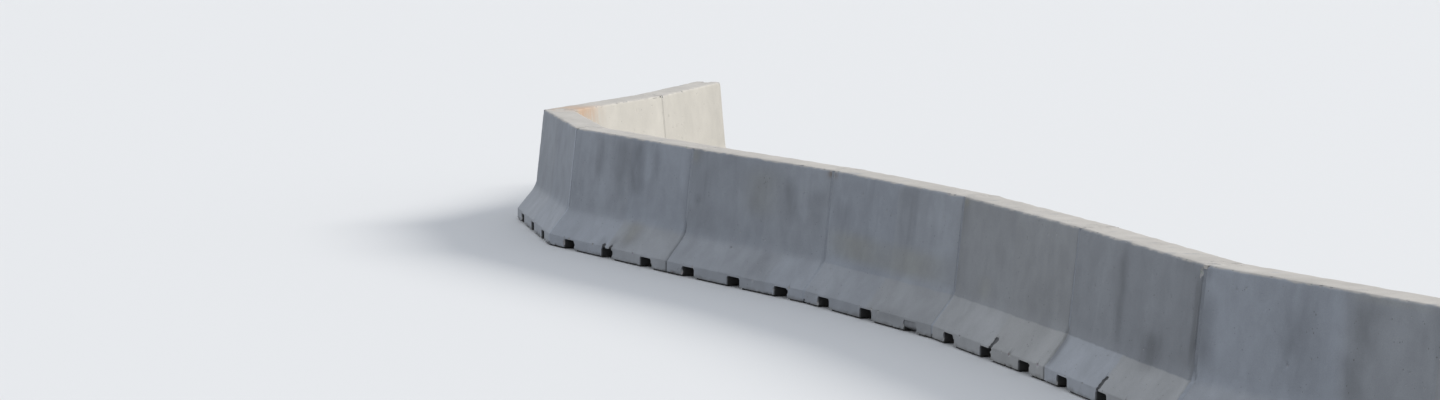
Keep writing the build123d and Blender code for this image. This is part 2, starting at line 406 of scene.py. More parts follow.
class Concrete:
    """The concrete of one unit, from its plain colours, with painted shade and sunlight, to its
    stains, dirt and relief.
    """

    def __init__(self, k):
        self.look = LOOK[k]
        self.g = g = material_graph("concrete_unit_%d" % k)

        # Places in the unit's frame, and the same shifted along for the noise
        middle, heading = unit_place(k)
        inputs = {
            "Vector": g.place(),
            "Location": (middle.x, middle.y, 0.0),
            "Rotation": (0.0, 0.0, heading),
        }
        place = g.node("ShaderNodeMapping", inputs, vector_type="TEXTURE").outputs[0]
        inputs = {0: place, 1: (self.look.shift, 0.0, 0.0)}
        self.p = p = g.node("ShaderNodeVectorMath", inputs, operation="ADD").outputs[0]
        self.x, self.y, self.z = g.split(place)

        self.coarse = g.noise(p, 1.7)
        self.blotch = g.noise(p, 6.5, 2.5, 0.5, 0.4)
        self.cloud = g.noise(p, 21.0, 3.0, 0.6)
        self.grain = g.noise(p, 160.0, 3.0, 0.7)
        self.wobble = g.minus(g.noise(p, 9.0), 0.5)
        self.wide_streaks = self.streaks(3.6, 2.0, 1.2, 0.50, 0.6)

        # Stains as painted on the mesh
        marks = g.node("ShaderNodeAttribute", attribute_name="stain").outputs
        self.grime = marks["Alpha"]
        stain = g.node("ShaderNodeSeparateColor", {0: marks["Color"]}).outputs
        self.darkened, self.beige, self.rust = stain[0], stain[1], stain[2]

        # Where on the unit: back side, painted in sunlight; top, bleached and painted in sunlight;
        # lower slope; end faces
        self.back = g.ramp(self.y, 0.02, 0.08)
        edge = g.plus(self.z, g.times(self.wobble, 0.030))
        self.top = g.ramp(edge, TOP - 0.014, TOP - 0.003)
        soft = CRISP_BLEND if k in CRISP_CREASE else CREASE_BLEND
        crease = g.plus(self.z, g.times(self.wobble, 0.4 * soft + 0.010))
        self.lower = g.ramp(crease, CREASE + soft, CREASE - soft)
        normal = g.node("ShaderNodeNewGeometry").outputs["True Normal"]
        ahead = (math.cos(heading), math.sin(heading), 0.0)
        facing = g.node("ShaderNodeVectorMath", {0: normal, 1: ahead}, operation="DOT_PRODUCT")
        self.end = g.ramp(g.size(facing.outputs["Value"]), 0.80, 0.92)

        self.pits = self.small_holes()

    def streaks(self, x, y, z, rough, distort):
        """Noise that is drawn out downwards."""
        vector = self.g.stretch(self.p, x, y, z, self.look.shift)
        return self.g.noise(vector, 1.0, 2.0, rough, distort)

    def halves(self, seam, pair, base=0.0, step=1.0):
        """One value on each half of the unit: base plus step times the pair's two."""
        side = self.g.plus(self.x, self.g.times(self.wobble, 0.05))
        blend = self.look.blend
        before, beyond = (base + step * value for value in pair)
        return self.g.ramp(side, seam - blend, seam + blend, before, beyond)

    def road_side(self):
        """Two halves that differ a little, as if two pours met there, under water streaks."""
        g, look = self.g, self.look
        faces = []
        # The steep face in painted shade, the slope painted lighter where it faces the sky
        colours = (SHADED_ROAD_UPPER, SKYLIT_SHADED_ROAD_LOWER)
        for colour, seam, tone, warmth in zip(colours, look.seams, look.tone, look.warmth):
            red, blue = self.halves(seam, warmth, 1.0, 0.035), self.halves(seam, warmth, 1.0, -0.06)
            faces.append(g.scale(g.tint(colour, g.rgb(red, 1.0, blue)), self.halves(seam, tone)))
        road = g.mix(self.lower, *faces)

        # Water streaks down the steep face: wide soft ones, and faint finer ones between them
        fine = self.streaks(9.0, 4.0, 2.2, 0.45, 0.8)
        amount = g.times(g.ramp(self.z, CREASE - 0.05, CREASE + 0.20), look.streaks)
        for noise_value, start, full, tone in (
            (self.wide_streaks, 0.50, 0.68, 0.84),
            (self.wide_streaks, 0.50, 0.34, 1.10),
            (fine, 0.52, 0.72, 0.95),
        ):
            streak = g.times(g.ramp(noise_value, start, full), amount)
            road = g.scale(road, g.ramp(streak, 0.0, 1.5, 1.0, tone))
        return road

    def rear_side(self):
        """Pale and even, painted as in sunlight, with faint streaks."""
        g = self.g
        rear = g.scale(SUNLIT_BACK, g.ramp(self.wide_streaks, 0.30, 0.75, 1.01, 0.98))
        rear = g.scale(rear, g.ramp(self.lower, 0.0, 1.0, 1.0, 0.93))
        return g.scale(rear, g.ramp(self.x, *self.look.back))

    def stained(self, colour):
        """The painted stains, broken up by noise. The bleached top, painted pale as in sunlight
        too, shows only rusty water.
        """
        g = self.g
        frayed = g.noise(g.stretch(self.p, 6.0, 4.0, 2.6, 1.7), 1.0, 2.0, 0.50)
        frayed = g.ramp(frayed, 0.25, 0.75, 0.55, 1.35)
        darkened = g.times(self.darkened, frayed)
        colour = g.scale(colour, g.ramp(darkened, -FULL_STAIN, FULL_STAIN, *STAIN_TONES))

        # On the back and the inner top the warm stain is rusty water that has run down
        inner_top = g.times(g.times(self.top, g.ramp(self.y, -0.09, -0.05)), 0.75)
        behind = g.times(self.beige, g.math("MAXIMUM", self.back, inner_top), True)
        beside = g.minus(self.beige, behind)
        runs = g.noise(g.stretch(self.p, 15.0, 9.0, 2.4, 4.2), 1.0, 4.0, 0.62, 0.5)
        runs = g.plus(runs, g.times(g.minus(self.z, 0.72), 1.5))
        dried = g.times(behind, g.ramp(runs, 0.34, 0.66, 0.05, 1.0))

        colour = g.mix(g.times(beside, 0.55, True), colour, BEIGE_FILM)
        colour = g.mix(g.times(g.times(self.rust, frayed), 0.75, True), colour, RUST_FILM)
        # The top painted pale as in sunlight, as well as bleached
        colour = g.mix(self.top, colour, SUNLIT_BLEACHED_TOP)
        return g.mix(dried, colour, g.tint(colour, RUSTY_WATER))

    def mottled(self, colour):
        """Mottling at several sizes, on all faces but less on the back."""
        g = self.g
        mottle = g.times(g.spread(self.coarse, 0.94, 1.06), g.spread(self.blotch, 0.95, 1.05))
        mottle = g.times(mottle, g.spread(self.cloud, 0.98, 1.02))
        mottle = g.times(mottle, g.spread(self.grain, 0.94, 1.05))
        calm = g.ramp(self.back, 0.0, 1.0, 1.0, 0.55)
        return g.scale(colour, g.plus(g.times(g.minus(mottle, 1.0), calm), 1.0))

    def dirtied(self, colour):
        """Darker towards the ground at the toe, painted shade inside the slots, and grime beside
        the joints.
        """
        g = self.g
        # Darker towards the ground over the lowest few centimetres
        low = g.plus(self.z, g.times(self.wobble, 0.06))
        colour = g.mix(g.ramp(low, 0.034, 0.004, 0.0, 0.55), colour, TOE_DARKENING)
        # Painted shade inside the foot slots
        inside = g.ramp(g.size(self.y), HALF_BASE - 0.001, HALF_BASE - 0.014)
        inside = g.times(inside, g.ramp(self.z, SLOT_TOP + 0.010, SLOT_TOP + 0.002))
        colour = g.mix(g.times(inside, 0.92), colour, SLOT_SHADE)
        patchy = g.spread(self.blotch, 0.7, 1.1)
        return g.mix(g.times(self.grime, patchy, True), colour, JOINT_GRIME)

    def small_holes(self):
        """1 in the air holes that are too small for the mesh."""
        g = self.g
        away = g.cells(self.p, 34.0)["Distance"]
        reach = g.ramp(g.noise(self.p, 11.0, 2.0), 0.40, 0.75, 0.0, 0.17)
        return g.ramp(g.minus(reach, away), -0.03, 0.02)

    def material(self):
        g = self.g
        # The road side in painted shade, the back in painted sunlight
        colour = g.mix(self.back, self.road_side(), self.rear_side())
        # End faces in the road side's painted shade
        colour = g.mix(self.end, self.stained(colour), SHADED_END)
        colour = self.dirtied(self.mottled(colour))
        colour = g.mix(g.times(self.pits, 0.55), colour, PIT_SHADE)
        height = g.plus(g.times(self.cloud, 0.15), g.times(self.grain, 0.14))
        height = g.minus(height, g.times(self.pits, 0.8))
        rough = g.spread(self.cloud, 0.86, 0.96)
        return g.finish(Base_Color=colour, Roughness=rough, Normal=g.bump(height, 0.36, 0.003))


def broken(name):
    """Freshly broken concrete: pale paste with stones of several sizes."""
    g = material_graph(name)
    p = g.place()
    stones = g.cells(p, 95.0)
    away = stones["Distance"]
    grit = g.cells(p, 320.0)["Distance"]
    paste = g.noise(p, 60.0, 4.0, 0.65)
    stone = g.mix(0.75, STONE, stones["Color"], "SOFT_LIGHT")
    stone = g.mix(0.65, stone, STONE_DUST)
    colour = g.mix(g.ramp(away, 0.42, 0.34), g.mix(paste, *MORTAR), stone)
    colour = g.scale(colour, g.ramp(grit, 0.1, 0.6, 0.88, 1.06))
    height = g.plus(g.times(paste, 0.6), g.ramp(away, 0.45, 0.15, 0.0, 0.6))
    rough = g.spread(paste, 0.88, 0.97)
    return g.finish(Base_Color=colour, Roughness=rough, Normal=g.bump(height, 0.7, 0.004))


def dirt(name, light, dark, change=0.0, below=1.0, above=1.0):
    """Dirt in two tones; it may be brighter or darker below and above a height, which paints light
    into some joints and shade at the foot of the blocked slot.
    """
    g = material_graph(name)
    p = g.place()
    clumps = g.noise(p, 38.0, 4.0, 0.65)
    grit = g.cells(p, 260.0)["Distance"]
    colour = g.mix(g.ramp(clumps, 0.35, 0.68), light, dark)
    colour = g.scale(colour, g.ramp(grit, 0.1, 0.6, 0.92, 1.06))
    height = g.split(p)[2]
    colour = g.scale(colour, g.ramp(height, change - 0.03, change + 0.03, below, above))
    relief = g.plus(clumps, g.times(grit, 0.4))
    return g.finish(Base_Color=colour, Roughness=0.96, Normal=g.bump(relief, 0.4, 0.002))


# ---------------------------------------------------------------- worn faces

GRID, QUICK_GRID = 0.030, 0.045
GRID_REACH = (1.05, 0.30, 0.82)
GRID_START = 0.0071
SKIN_WEAR = ((0.0011, 3.1), (0.0004, 11.0))  # depth and scale of the noise
PLATE_WEAR = 0.0012
EDGE_WEAR, EDGE_REACH = 0.0035, 0.022


def cut_grid(bm, spacing):
    """Cuts the flat faces into a grid, so that they can be made a little uneven."""
    for axis, reach in enumerate(GRID_REACH):
        normal = [0.0, 0.0, 0.0]
        normal[axis] = 1.0
        at = -reach + GRID_START
        while at < reach:
            point = [0.0, 0.0, 0.0]
            point[axis] = at
            if axis < 2 or at > UNDERSIDE + 0.004:
                parts = bm.verts[:] + bm.edges[:] + bm.faces[:]
                bmesh.ops.bisect_plane(
                    bm, geom=parts, dist=1e-5, plane_co=point, plane_no=normal
                )
            at += spacing


def in_slot(place):
    """Whether a place lies on the edge of a foot slot or inside it."""
    low = place.z < SLOT_TOP + 0.004
    return low and any(abs(place.x - x) < SLOT_HALF + 0.002 for x in SLOT_X)


def beside_plate(place):
    """Whether a place lies on the top beside a cover plate, where the wear is even."""
    return place.z > TOP - 0.006 and abs(place.x) > 0.80 and abs(place.y) < 0.062


def weather(bm, shift):
    """Moves the outer skin inwards by up to a few millimetres: uneven faces, worn edges."""
    bm.normal_update()
    moves = []
    for v in bm.verts:
        outer = abs(v.co.y) > 0.06 or v.co.z > 0.75
        if v.co.z < UNDERSIDE + 0.002 or not outer or in_slot(v.co):
            continue
        place = v.co + Vector((shift, 0, 0))
        depth = sum(most * (1 + noise.noise(place * scale)) for most, scale in SKIN_WEAR)
        if beside_plate(v.co):
            depth = PLATE_WEAR
        top_edge = v.co.z > TOP - EDGE_REACH and abs(v.co.y) > HALF_TOP - EDGE_REACH
        toe_edge = TOE - 0.016 < v.co.z < TOE + 0.014
        if top_edge or toe_edge:
            depth += EDGE_WEAR * max(0.0, noise.noise(place * 7.3) + 0.25)
        moves.append((v, v.normal * depth))
    for v, move in moves:
        v.co -= move


# ---------------------------------------------------------------- chips, holes and cracks

CRACK_STEP, CRACK_DEPTH = 0.022, 0.005


def lump(target, at, size, seed, detail=2, rough=0.28):
    """Adds one uneven lump to a cutter mesh; size is its half width in x, y and z."""
    ball = bmesh.new()
    bmesh.ops.create_icosphere(ball, subdivisions=detail, radius=1.0)
    for v in ball.verts:
        v.co *= 1.0 + rough * noise.noise(v.co * 1.9 + Vector((seed * 3.7, seed, 0.0)))
        v.co = Vector((v.co.x * size[0], v.co.y * size[1], v.co.z * size[2])) + at
    mesh = bpy.data.meshes.new("lump")
    ball.to_mesh(mesh)
    ball.free()
    target.from_mesh(mesh)
    bpy.data.meshes.remove(mesh)


def close_rows(target, rows):
    """Joins rows of points, each once round the same outline, into a closed skin."""
    for a, b in zip(rows, rows[1:]):
        for i in range(len(a)):
            j = (i + 1) % len(a)
            target.faces.new((a[i], a[j], b[j], b[i]))
    target.faces.new(rows[0][::-1])
    target.faces.new(rows[-1])


def groove(target, points, width, depth):
    """Adds a thin wedge along a path on a face to a cutter mesh; points are (place, outwards)."""
    rows = []
    for i, (place, out) in enumerate(points):
        ahead = points[min(i + 1, len(points) - 1)][0] - points[max(i - 1, 0)][0]
        across = ahead.cross(out).normalized() * width[i]
        above = place + out * 0.004
        corners = (above - across * 1.6, above + across * 1.6, place - out * depth)
        rows.append([target.verts.new(corner) for corner in corners])
    close_rows(target, rows)


def crack(target, chance, x, low, high, width, drift):
    """A wandering crack on the road side from one height up to another."""
    points, widths = [], []
    steps = max(4, int((high - low) / CRACK_STEP))
    for i in range(steps + 1):
        here, out = face_way(low + (high - low) * i / steps)
        points.append((Vector((x, here.y, here.z)), out))
        widths.append(width * chance.uniform(0.6, 1.2) * (0.25 if i in (0, steps) else 1.0))
        x += chance.uniform(-drift, drift)
    groove(target, points, widths, CRACK_DEPTH)


# Long edges that chips break from: y, height, the way out of the corner, number of chips
EDGES = (
    (-HALF_TOP + 0.006, TOP - 0.006, Vector((0, -0.7, 0.7)), 5),
    (HALF_TOP - 0.006, TOP - 0.006, Vector((0, 0.7, 0.7)), 5),
    (-HALF_BASE, UNDERSIDE, Vector((0, -0.75, -0.66)), 8),
    (HALF_BASE, UNDERSIDE, Vector((0, 0.75, -0.66)), 8),
    (-HALF_BASE + 0.004, TOE - 0.004, Vector((0, -0.9, 0.4)), 4),
    (HALF_BASE - 0.004, TOE - 0.004, Vector((0, 0.9, 0.4)), 4),
)
CHIP_SIZES = (0.006, 0.008, 0.010, 0.015)
SLOT_CHIP_CHANCE = 0.6
AIR_HOLES = 26
DAMAGE_SEED, NOTCH_SEED = 100, 300

# Damage that the photograph shows: unit, place in its frame, half sizes
SPALLS = (
    (8, (0.985, -0.122, 0.776), (0.036, 0.018, 0.046)),
    (5, (0.992, -0.114, 0.800), (0.018, 0.014, 0.018)),
    (6, (-0.985, -0.119, 0.782), (0.026, 0.014, 0.034)),
    (1, (0.985, 0.112, 0.812), (0.040, 0.030, 0.026)),
    (2, (-0.988, 0.110, 0.812), (0.022, 0.026, 0.020)),
    (7, (0.990, -0.108, 0.816), (0.045, 0.022, 0.014)),
    (9, (-0.990, -0.110, 0.806), (0.016, 0.016, 0.016)),
    (4, (-0.990, -0.110, 0.812), (0.026, 0.018, 0.014)),
)


def edge_chips(bm, chance):
    """Chips out of the long edges."""
    for y, height, out, count in EDGES:
        places = [chance.uniform(-0.96, 0.96) for _ in range(count)]
        for x in places:
            size = chance.choice(CHIP_SIZES) * chance.uniform(0.75, 1.25)
            centre = Vector((x, y, height)) + out * size * chance.uniform(0.45, 0.62)
            half_sizes = (size * chance.uniform(1.0, 1.9), size, size)
            lump(bm, centre, half_sizes, chance.uniform(0, 90))


def slot_chips(bm, chance, side):
    """Chips out of the upright edges of the slots."""
    for slot_x in SLOT_X:
        for hand in (-1, 1):
            if chance.random() < SLOT_CHIP_CHANCE:
                x = slot_x + hand * (SLOT_HALF + 0.001)
                height = SLOT_TOP - chance.uniform(0.01, 0.05)
                at = Vector((x, side * (HALF_BASE + 0.004), height))
                size = chance.uniform(0.008, 0.016)
                lump(bm, at, (size, size, size * 1.4), chance.uniform(0, 90))


def air_holes(bm, chance, side):
    """Air holes big enough to see."""
    for _ in range(AIR_HOLES):
        height = chance.choice((chance.uniform(0.27, 0.78), chance.uniform(0.10, 0.24)))
        at = face_point(chance.uniform(-0.95, 0.95), height, side, 0.001)
        size = chance.uniform(0.0025, 0.0055)
        lump(bm, at, (size, size, size), chance.uniform(0, 90), detail=1, rough=0.2)


def cutters(k):
    """All that time has taken from unit k, as one mesh."""
    chance = random.Random(DAMAGE_SEED + k)
    bm = bmesh.new()
    edge_chips(bm, chance)
    for unit, at, size in SPALLS:
        if unit == k:
            lump(bm, Vector(at), size, chance.uniform(0, 90), detail=3, rough=0.45)
    for side in (ROAD, REAR):
        slot_chips(bm, chance, side)
        air_holes(bm, chance, side)
    bmesh.ops.recalc_face_normals(bm, faces=bm.faces)
    return bm


# Notches broken upwards from the corners of the middle slot: place along the unit at the
# slot and at the top, height of the top, half width at both, depth
NOTCHES = {
    4: (
        (-0.050, -0.054, 0.098, 0.040, 0.036, 0.022),
        (0.060, 0.062, 0.097, 0.030, 0.027, 0.022),
    ),
    7: ((0.088, 0.106, 0.132, 0.022, 0.046, 0.012),),
    8: ((-0.072, -0.044, 0.144, 0.021, 0.041, 0.014),),
}
NOTCH_STEPS = 8
CRACKED = (7, 8)


def notch(target, chance, low_x, high_x, high, low_half, high_half, depth):
    """A broken wedge that narrows upwards from the upper edge of a slot, on the road side."""
    rows = []
    low = SLOT_TOP - 0.014
    for i in range(NOTCH_STEPS + 1):
        t = i / NOTCH_STEPS
        here, out = face_way(low + (high - low) * t)
        half = (low_half + (high_half - low_half) * t) * chance.uniform(0.82, 1.12)
        half *= 0.55 if i == NOTCH_STEPS else 1.0
        deep = depth * (1.0 - 0.65 * t)
        middle = low_x + (high_x - low_x) * t + 0.25 * high_half * chance.uniform(-1.0, 1.0)
        row = []
        corners = ((-half, 0.008), (half, 0.008), (0.6 * half, -deep), (-0.6 * half, -deep))
        for across, away in corners:
            place = here + out * away
            row.append(target.verts.new((middle + across, place.y, place.z)))
        rows.append(row)
    close_rows(target, rows)


def notch_cutters(k):
    """The notches of unit k, with the short cracks above them."""
    chance = random.Random(NOTCH_SEED + k)
    bm = bmesh.new()
    for low_x, high_x, high, low_half, high_half, depth in NOTCHES[k]:
        notch(bm, chance, low_x, high_x, high, low_half, high_half, depth)
        if k in CRACKED:
            x = high_x - 0.6 * high_half
            crack(bm, chance, x, high - 0.012, high + 0.020, width=0.0014, drift=0.010)
    bmesh.ops.recalc_face_normals(bm, faces=bm.faces)
    return bm


def add_object(name, data):
    obj = bpy.data.objects.new(name, data)
    bpy.context.scene.collection.objects.link(obj)
    return obj


def subtract(obj, bm, materials, inside):
    """Takes a cutter mesh away from an object; inside says which material the cut shows."""
    mesh = bpy.data.meshes.new("cutter")
    bm.to_mesh(mesh)
    bm.free()
    for material in materials:
        mesh.materials.append(material)
    for face in mesh.polygons:
        face.material_index = inside
    tool = add_object("cutter", mesh)
    cut = obj.modifiers.new("cut", "BOOLEAN")
    cut.operation = "DIFFERENCE"
    cut.solver = "MANIFOLD"
    cut.object = tool
    graph = bpy.context.evaluated_depsgraph_get()
    result = bpy.data.meshes.new_from_object(obj.evaluated_get(graph), depsgraph=graph)
    obj.modifiers.clear()
    obj.data = result
    bpy.data.objects.remove(tool)


# ---------------------------------------------------------------- painted stains


def between(height, low, high, soft=0.12):
    """1 between two heights, fading out beyond them."""
    fade = soft * (high - low) + 0.02
    return max(0.0, min((height - low) / fade, (high - height) / fade + 0.5, 1.0))


def grime_at(k, place, height):
    """Grime beside the joints at the two ends of unit k."""
    amount = 0.0
    for j, away in ((k - 1, from_joint(k - 1, place)), (k, -from_joint(k, place))):
        if j in GRIME:
            strength, width, low, high = GRIME[j]
            away = max(0.0, away - gap_at(j))
            width *= 1.0 + 0.7 * noise.noise(Vector((j, height * 7.0, k)))
            amount += strength * math.exp(-away / width) * between(height, low, high)
    return min(1.0, amount)


def paint_stains(mesh, k):
    """Stores how stained each point is: dark, beige, rust and joint grime."""
    matrix = unit_matrix(k)
    layer = mesh.color_attributes.new("stain", "FLOAT_COLOR", "POINT")
    for v, entry in zip(mesh.vertices, layer.data):
        amounts = {"dark": 0.0, "clean": 0.0, "warm": 0.0, "rust": 0.0}
        stains = STAINS if v.co.y < ROAD_STAINS_TO else BACK_STAINS
        for kind, x, half, low, high, strength in stains.get(k, ()):
            lean = 0.35 * half * noise.noise(Vector((x * 9.0, k, v.co.z * 5.0)))
            across = math.exp(-(((v.co.x - x - lean) / half) ** 2))
            amounts[kind] += strength * across * between(v.co.z, low, high, 0.24)
        dark = max(0.0, amounts["dark"] - amounts["clean"])
        entry.color = (dark, amounts["warm"], amounts["rust"], grime_at(k, matrix @ v.co, v.co.z))


# ---------------------------------------------------------------- the units

WHOLE, BREAK, SHADED_GRIMY_BREAK = 0, 1, 2  # material slots of a unit
SHARP_ANGLE, SHARP_ANGLE_CRISP = math.radians(38), math.radians(27)
BROKEN = broken("broken_concrete")
# Dark faces of the notches: painted shade in the broken clefts, and grime
NOTCH_SHADE_AND_GRIME = dirt("shaded_grimy_break", (0.120, 0.122, 0.125), (0.072, 0.074, 0.076))


def make_unit(k):
    """Takes unit k's solid and wears, breaks, cracks and stains it."""
    node = "barrier_unit_%d" % k
    matrix = unit_matrix(k)
    bm = bmesh.new()
    bm.from_mesh(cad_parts[node].data)
    bmesh.ops.remove_doubles(bm, verts=bm.verts, dist=1e-6)
    bmesh.ops.transform(bm, matrix=matrix.inverted(), verts=bm.verts)
    bmesh.ops.dissolve_limit(bm, angle_limit=0.01, verts=bm.verts, edges=bm.edges)
    cut_grid(bm, GRID)
    weather(bm, LOOK[k].shift)
    mesh = bpy.data.meshes.new("weathered_unit_%d" % k)
    bm.to_mesh(mesh)
    bm.free()
    materials = (Concrete(k).material(), BROKEN, NOTCH_SHADE_AND_GRIME)
    for material in materials:
        mesh.materials.append(material)
    for face in mesh.polygons:
        face.material_index = WHOLE
    obj = add_object("weathered_unit_%d" % k, mesh)
    subtract(obj, cutters(k), materials, BREAK)
    if k in NOTCHES:
        subtract(obj, notch_cutters(k), materials, SHADED_GRIMY_BREAK)
    for face in obj.data.polygons:
        face.use_smooth = True
    sharp = SHARP_ANGLE_CRISP if k in CRISP_CREASE else SHARP_ANGLE
    obj.data.set_sharp_from_angle(angle=sharp)
    paint_stains(obj.data, k)
    obj.data.transform(matrix)
    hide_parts(node)
    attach(obj, "root")


for k in range(1, UNITS + 1):
    make_unit(k)

# ---------------------------------------------------------------- dirt

# Dirt in each joint on the road side: height at which it changes, then below and above
# that height how deep it lies, and how bright it is against the face beside it. A brightness
# above 1 paints light over the shade that falls into the recessed joint; below 1 the joint is
# darker.
PACKED = {
    1: (0.25, 0.0050, 0.0040, 1.10, 0.95),
    2: (0.25, 0.0040, 0.0030, 1.20, 1.00),
    3: (0.25, 0.0018, 0.0018, 1.64, 1.54),
    4: (0.33, 0.0120, 0.0020, 0.95, 1.08),
    5: (0.25, 0.0014, 0.0022, 1.28, 1.00),
    6: (0.25, 0.0030, 0.0030, 1.26, 1.00),
    7: (0.27, 0.0130, 0.0020, 0.58, 1.04),
    8: (0.275, 0.0040, 0.0085, 1.24, 0.84),
}
DIRT_FROM, DIRT_TO, DIRT_STEPS = 0.030, TOP - 0.006, 60
TOP_DIRT_FROM, TOP_DIRT_STEP, TOP_DIRT_STEPS = 0.104, -0.006, 12
REAR_DIRT_DEPTH, TOP_DIRT_DEPTH = 0.0024, 0.0030
DIRT_COLUMNS, DIRT_LEAST_DEPTH, DIRT_THICKNESS = 5, 0.0008, 0.020
DIRT_SHARP_ANGLE = math.radians(50)
BEVEL = 0.009  # of the rim at a unit's end
OVERLAP = 0.001  # of the dirt into the concrete beside it
PLATE_REACH, PLATE_HALF = 0.1200, 0.0410
TOOL_SLOT = (0.019, 0.010)
DUST_UNDERSIDE, DUST_TOP, DUST_UNEVEN = 0.0075, 0.0010, 0.0002  # below the top of the row
DUST_RIM, DUST_RIM_DIP, DUST_SLOT_DIP = 0.009, 0.0030, 0.0020
# Dirt on the back and on top, painted pale as in sunlight; on the road side the same dirt is
# painted in its shade
SUNLIT_BACK_DIRT = dirt("packed_dirt_back", (0.560, 0.532, 0.473), (0.500, 0.474, 0.420))
SUNLIT_TOP_DIRT = dirt("packed_dirt_top", (0.500, 0.475, 0.440), (0.445, 0.420, 0.388))
# Dirt that blocks a slot, painted in shade below 3 cm, where its foot recedes under the toe
HEAP_DIRT_SHADED_BELOW = dirt("hardened_dirt_shaded_below", (0.270, 0.278, 0.292), (0.225, 0.230, 0.240), 0.030, 0.30, 1.0)


def new_piece(name, bm, matrix, materials):
    """Makes a piece from a mesh in a frame of its own, fixed to the row."""
    bmesh.ops.recalc_face_normals(bm, faces=bm.faces)
    bmesh.ops.transform(bm, matrix=matrix, verts=bm.verts)
    for face in bm.faces:
        face.smooth = True
    mesh = bpy.data.meshes.new(name)
    bm.to_mesh(mesh)
    bm.free()
    mesh.set_sharp_from_angle(angle=DIRT_SHARP_ANGLE)
    for material in materials:
        mesh.materials.append(material)
    obj = add_object(name, mesh)
    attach(obj, "root")


def strip(bm, path, seed, slot, half_gap):
    """A closed strip of dirt along a path of (place, way out, depth) between two bevelled ends."""
    rows = []
    centre = (DIRT_COLUMNS - 1) // 2
    for i, (place, out, deep) in enumerate(path):
        row = []
        for column in range(DIRT_COLUMNS):
            uneven = noise.noise(Vector((column * 0.6, i * 0.35, seed)))
            depth = deep * (1.0 + 0.35 * uneven) + DIRT_LEAST_DEPTH
            half = half_gap + max(0.0, BEVEL - depth) + OVERLAP
            across = Vector((half * (column - centre) / centre, 0, 0))
            row.append(bm.verts.new(place - out * depth + across))
        for x in (half_gap + OVERLAP, -half_gap - OVERLAP):
            row.append(bm.verts.new(place - out * (deep + DIRT_THICKNESS) + Vector((x, 0, 0))))
        rows.append(row)
    faces = [bm.faces.new(rows[0]), bm.faces.new(rows[-1][::-1])]
    for a, b in zip(rows, rows[1:]):
        for i in range(len(a)):
            j = (i + 1) % len(a)
            faces.append(bm.faces.new((a[i], b[i], b[j], a[j])))
    for face in faces:
        face.material_index = slot


def fill_joint(j):
    """Dirt washed into joint j on both sides and on top, lying a little below the faces."""
    change, below, above, tone_below, tone_above = PACKED[j]
    matrix, half_turn = joint_frame(j)
    bm = bmesh.new()
    for side in (ROAD, REAR):
        path = []
        for i in range(DIRT_STEPS + 1):
            height = DIRT_FROM + (DIRT_TO - DIRT_FROM) * i / DIRT_STEPS
            blend = min(1.0, max(0.0, (height - change) / 0.04 + 0.5))
            deep = (below + (above - below) * blend) if side == ROAD else REAR_DIRT_DEPTH
            here, out = face_way(height, side)
            here.y /= math.cos(half_turn)
            path.append((here, out, deep))
        strip(bm, path, j * 3.1 + side, 0 if side == ROAD else 1, gap_at(j))
        path = []
        for i in range(TOP_DIRT_STEPS + 1):
            across = side * (TOP_DIRT_FROM + TOP_DIRT_STEP * i)
            path.append((Vector((0, across, TOP)), UP, TOP_DIRT_DEPTH))
        strip(bm, path, j * 5.3 + side, 2, gap_at(j))
    # The road side's joint dirt takes the road face's painted shade
    shade = tuple(value * 0.86 for value in SHADED_ROAD_UPPER)
    road = dirt("packed_dirt_%d" % j, SHADED_ROAD_UPPER, shade, change, tone_below, tone_above)
    new_piece("joint_dirt_%d" % j, bm, matrix, (road, SUNLIT_BACK_DIRT, SUNLIT_TOP_DIRT))


def slab(bm, columns, rows, surface):
    """A closed slab; surface gives the place at two shares from 0 to 1, outside and inside."""
    near, far = (
        [
            [bm.verts.new(surface(i / (columns - 1), n / (rows - 1), outer)) for n in range(rows)]
            for i in range(columns)
        ]
        for outer in (True, False)
    )
    for grid in (near, far):
        for a, b in zip(grid, grid[1:]):
            for n in range(rows - 1):
                bm.faces.new((a[n], b[n], b[n + 1], a[n + 1]))
    rim = [(i, 0) for i in range(columns)]
    rim += [(columns - 1, n) for n in range(1, rows)]
    rim += [(i, rows - 1) for i in range(columns - 2, -1, -1)]
    rim += [(0, n) for n in range(rows - 2, 0, -1)]
    for (i, n), (j, m) in zip(rim, rim[1:] + rim[:1]):
        bm.faces.new((near[i][n], near[j][m], far[j][m], far[i][n]))


def dust_cover(j):
    """Thin layer of dust in the recess over the cover plate of key j, dipping at its tool slot."""
    matrix, half_turn = joint_frame(j)
    reach = gap_at(j) + PLATE_REACH

    def surface(along, across, outer):
        x, y = reach * (2 * along - 1), PLATE_HALF * (2 * across - 1)
        z = TOP - DUST_UNDERSIDE
        if outer:
            uneven = 1 + noise.noise(Vector((x * 22.0, y * 22.0, j * 2.7)))
            z = TOP - DUST_TOP - DUST_UNEVEN * uneven
            to_edge = min(reach - abs(x), PLATE_HALF - abs(y))
            z -= DUST_RIM_DIP * max(0.0, 1.0 - to_edge / DUST_RIM) ** 2
            hole = max(abs(x) / TOOL_SLOT[0], abs(y) / TOOL_SLOT[1])
            z -= DUST_SLOT_DIP * max(0.0, min(1.0, 2.0 * (1.15 - hole)))
        return x, y + abs(x) * math.tan(half_turn), z

    bm = bmesh.new()
    slab(bm, 49, 15, surface)
    new_piece("cover_dust_%d" % j, bm, matrix, (SUNLIT_TOP_DIRT,))


